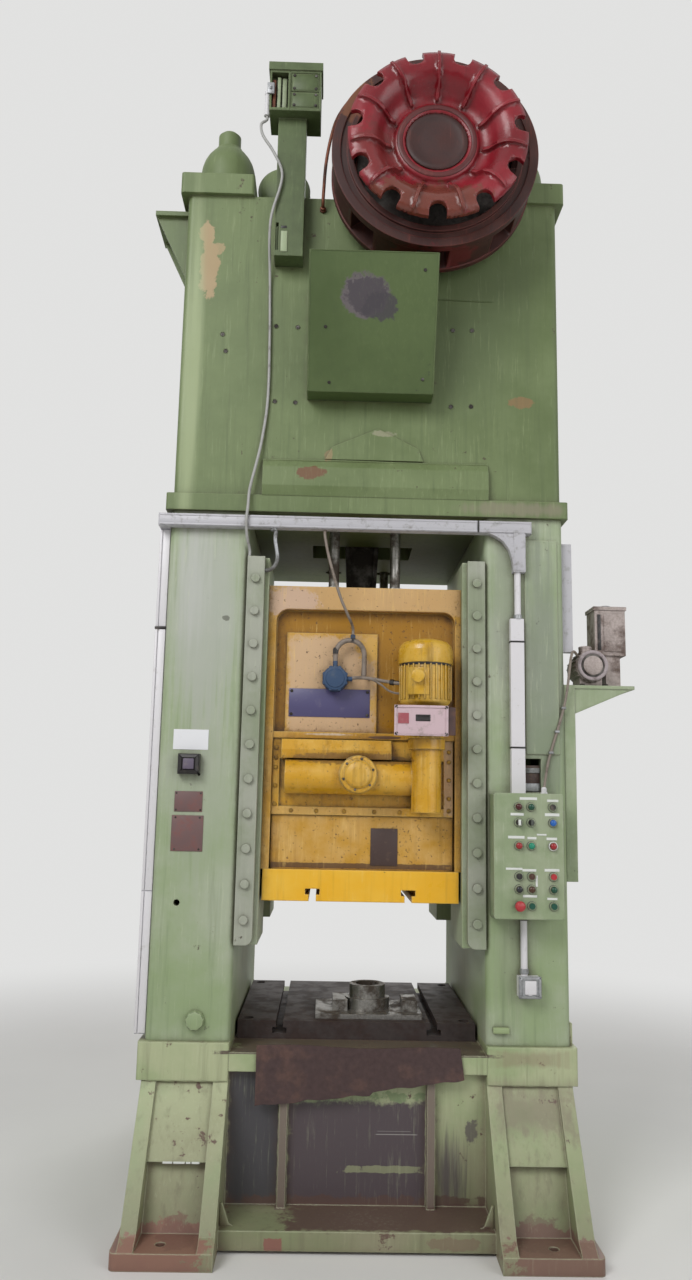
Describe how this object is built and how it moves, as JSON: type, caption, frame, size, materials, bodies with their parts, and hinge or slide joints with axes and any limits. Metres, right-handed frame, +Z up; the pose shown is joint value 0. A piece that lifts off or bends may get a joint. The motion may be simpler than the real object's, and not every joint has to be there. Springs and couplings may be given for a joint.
{
  "type": "mechanical stamping press",
  "caption": "Straight-sided single-point mechanical stamping press with geared eccentric drive, flywheel, brake, adjustable guided slide and T-slotted bolster.",
  "frame": {"origin": "middle of the anchor-bolt rectangle, at floor level under the feet", "axes": "+X to the right as the operator sees the front, +Y from the front into the press, +Z up"},
  "size_m": [2.032, 1.985, 4.6446],
  "materials": {
    "press_green": "worn satin paint",
    "dark_green": "oily paint",
    "slide_yellow": "dirty satin paint",
    "brake_red": "dusty paint",
    "machined_steel": "oiled machined steel",
    "rusty_steel": "rusty",
    "bronze": "oiled bearing bronze",
    "belt_rubber": "matt",
    "grey_plastic": "dusty",
    "dark_plastic": "matt",
    "blue_plastic": "matt",
    "red_plastic": "satin",
    "green_plastic": "satin",
    "brown_plastic": "satin",
    "cord_rubber": "matt"
  },
  "bodies": {
    "frame": {"bed": "press_green", "upright_left": "press_green", "upright_right": "press_green", "crown": "press_green", "tie_rods": "press_green", "tie_rod_nuts": "press_green", "gib_bar_left": "press_green", "gib_bar_right": "press_green", "gib_bars_rear": "press_green", "gib_bolts": "press_green", "bolster": "rusty_steel", "lower_tool": "rusty_steel", "apron_sheet": "rusty_steel", "eccentric_axle": "machined_steel", "shaft_caps": "dark_green", "brake_drum": "brake_red", "drive_belts": "belt_rubber", "main_motor": "dark_green", "air_receiver": "press_green", "balance_cylinders": "dark_green", "crown_cover": "press_green", "switch_post": "press_green", "wall_fittings": "dark_plastic", "trunking": "grey_plastic", "conduits": "grey_plastic", "lubricator_shelf": "press_green", "lubricator": "machined_steel", "control_box": "press_green", "crown_cord": "grey_plastic", "slide_cord": "cord_rubber"},
    "flywheel": {"flywheel": "brake_red"},
    "pulley": {"motor_pulley": "machined_steel"},
    "eccentric": {"eccentric_gear": "machined_steel"},
    "shaft": {"drive_shaft": "machined_steel", "star_disc": "brake_red", "clutch_disc": "rusty_steel"},
    "connecting_rod": {"conrod": "machined_steel", "strap_bush": "bronze", "wrist_pin": "machined_steel"},
    "connection": {"adjusting_screw": "machined_steel"},
    "slide": {"slide": "slide_yellow", "slide_plate": "slide_yellow", "adjust_housing": "slide_yellow", "adjust_motor": "slide_yellow", "counter_box": "rusty_steel", "junction_round": "blue_plastic", "balance_rods": "machined_steel"},
    "nut": {"adjusting_nut": "bronze"},
    "pinion": {"adjust_pinion": "machined_steel"},
    "door": {"cabinet_door": "press_green", "indicator_lamps": "red_plastic"},
    "button_black": {"button_black": "dark_plastic"},
    "button_black_low": {"button_black_low": "dark_plastic"},
    "button_brown": {"button_brown": "brown_plastic"},
    "button_red": {"button_red": "red_plastic"},
    "button_green": {"button_green": "green_plastic"},
    "button_green_right": {"button_green_right": "green_plastic"},
    "stop_button": {"stop_button": "red_plastic"},
    "selector_left": {"selector_left": "dark_plastic"},
    "selector_right": {"selector_right": "dark_plastic"}
  },
  "joints": [
    {"name": "eccentric_turn", "type": "hinge", "parent": "frame", "child": "eccentric", "pos_m": [0, 0, 3.43], "axis": [0, 1, 0], "range_deg": [0, 180]},
    {"name": "slide_stroke", "type": "slide", "parent": "frame", "child": "connection", "axis": [0, 0, 1], "range_m": [-0.2001, 0]},
    {"name": "shaft_turn", "type": "hinge", "parent": "frame", "child": "shaft", "pos_m": [0.24, 0, 4.14267], "axis": [0, 1, 0], "range_deg": [-760.5, 0]},
    {"name": "conrod_swing", "type": "hinge", "parent": "eccentric", "child": "connecting_rod", "pos_m": [0, 0, 3.53], "axis": [0, 1, 0], "range_deg": [-180.1, 0]},
    {"name": "flywheel_turn", "type": "hinge", "parent": "frame", "child": "flywheel", "pos_m": [0.24, 0, 4.14267], "axis": [0, 1, 0], "continuous": true},
    {"name": "pulley_turn", "type": "hinge", "parent": "frame", "child": "pulley", "pos_m": [-0.38, 0, 4.33], "axis": [0, 1, 0], "continuous": true},
    {"name": "slide_adjust", "type": "slide", "parent": "connection", "child": "slide", "axis": [0, 0, 1], "range_m": [-0.0801, 0]},
    {"name": "nut_turn", "type": "hinge", "parent": "slide", "child": "nut", "pos_m": [0, 0, 1.67], "axis": [0, 0, 1], "range_deg": [-2400, 0]},
    {"name": "pinion_turn", "type": "hinge", "parent": "slide", "child": "pinion", "pos_m": [0.2, -0.2498, 1.67], "axis": [0, 0, 1], "range_deg": [0, 7200.5]},
    {"name": "door_swing", "type": "hinge", "parent": "frame", "child": "door", "pos_m": [0.761, -0.712, 1.35], "axis": [0, 0, 1], "range_deg": [0, 100]},
    {"name": "button_black_push", "type": "slide", "parent": "door", "child": "button_black", "axis": [0, 1, 0], "range_m": [0, 0.004], "stiffness_N_per_m": 600, "springref_m": -0.002},
    {"name": "button_black_low_push", "type": "slide", "parent": "door", "child": "button_black_low", "axis": [0, 1, 0], "range_m": [0, 0.004], "stiffness_N_per_m": 600, "springref_m": -0.002},
    {"name": "button_brown_push", "type": "slide", "parent": "door", "child": "button_brown", "axis": [0, 1, 0], "range_m": [0, 0.004], "stiffness_N_per_m": 600, "springref_m": -0.002},
    {"name": "button_red_push", "type": "slide", "parent": "door", "child": "button_red", "axis": [0, 1, 0], "range_m": [0, 0.004], "stiffness_N_per_m": 600, "springref_m": -0.002},
    {"name": "button_green_push", "type": "slide", "parent": "door", "child": "button_green", "axis": [0, 1, 0], "range_m": [0, 0.004], "stiffness_N_per_m": 600, "springref_m": -0.002},
    {"name": "button_green_right_push", "type": "slide", "parent": "door", "child": "button_green_right", "axis": [0, 1, 0], "range_m": [0, 0.004], "stiffness_N_per_m": 600, "springref_m": -0.002},
    {"name": "stop_button_push", "type": "slide", "parent": "door", "child": "stop_button", "axis": [0, 1, 0], "range_m": [0, 0.004], "stiffness_N_per_m": 600, "springref_m": -0.002},
    {"name": "selector_left_turn", "type": "hinge", "parent": "door", "child": "selector_left", "pos_m": [0.585, -0.741, 1.471], "axis": [0, 1, 0], "range_deg": [-45, 45]},
    {"name": "selector_right_turn", "type": "hinge", "parent": "door", "child": "selector_right", "pos_m": [0.632, -0.741, 1.471], "axis": [0, 1, 0], "range_deg": [-45, 45]}
  ],
  "couplings": [
    {"joint": "slide_stroke", "follows": "eccentric_turn", "m_per_rad": -0.063662},
    {"joint": "shaft_turn", "follows": "eccentric_turn", "ratio": -4.2222},
    {"joint": "conrod_swing", "follows": "eccentric_turn", "ratio": -1},
    {"joint": "pulley_turn", "follows": "flywheel_turn", "ratio": 5.9398},
    {"joint": "slide_adjust", "follows": "nut_turn", "m_per_rad": 0.0019099},
    {"joint": "pinion_turn", "follows": "nut_turn", "ratio": -3}
  ]
}
